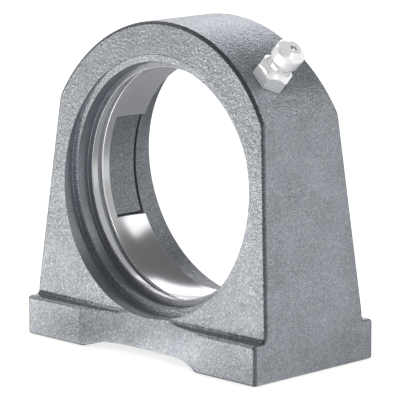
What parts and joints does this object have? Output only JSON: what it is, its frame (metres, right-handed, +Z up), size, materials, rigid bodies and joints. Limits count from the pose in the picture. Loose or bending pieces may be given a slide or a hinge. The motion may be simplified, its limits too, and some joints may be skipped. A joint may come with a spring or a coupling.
{
  "type": "bearing housing",
  "caption": "Cast iron bearing housing with a tapped base, a round-topped body, a spherical bearing seat with loading slots and a grease nipple on its arch.",
  "frame": {"origin": "middle of the underside of the base", "axes": "+X along the base towards the grease nipple's side, +Y from the front mouth to the rear mouth along the bore, +Z up"},
  "size_m": [0.07, 0.036, 0.0715],
  "materials": {
    "casting": "satin",
    "nipple": "gloss",
    "ball": "gloss",
    "spring": "satin"
  },
  "bodies": {
    "casting": {"housing": "casting", "grease_nipple_body": "nipple", "nipple_spring": "spring"},
    "check_ball": {"nipple_ball": "ball"}
  },
  "joints": [
    {"name": "ball_lift", "type": "slide", "parent": "casting", "child": "check_ball", "axis": [-0.7071, 0, -0.7071], "range_m": [0, 0.001], "stiffness_N_per_m": 2700, "deforming": ["nipple_spring"]}
  ]
}
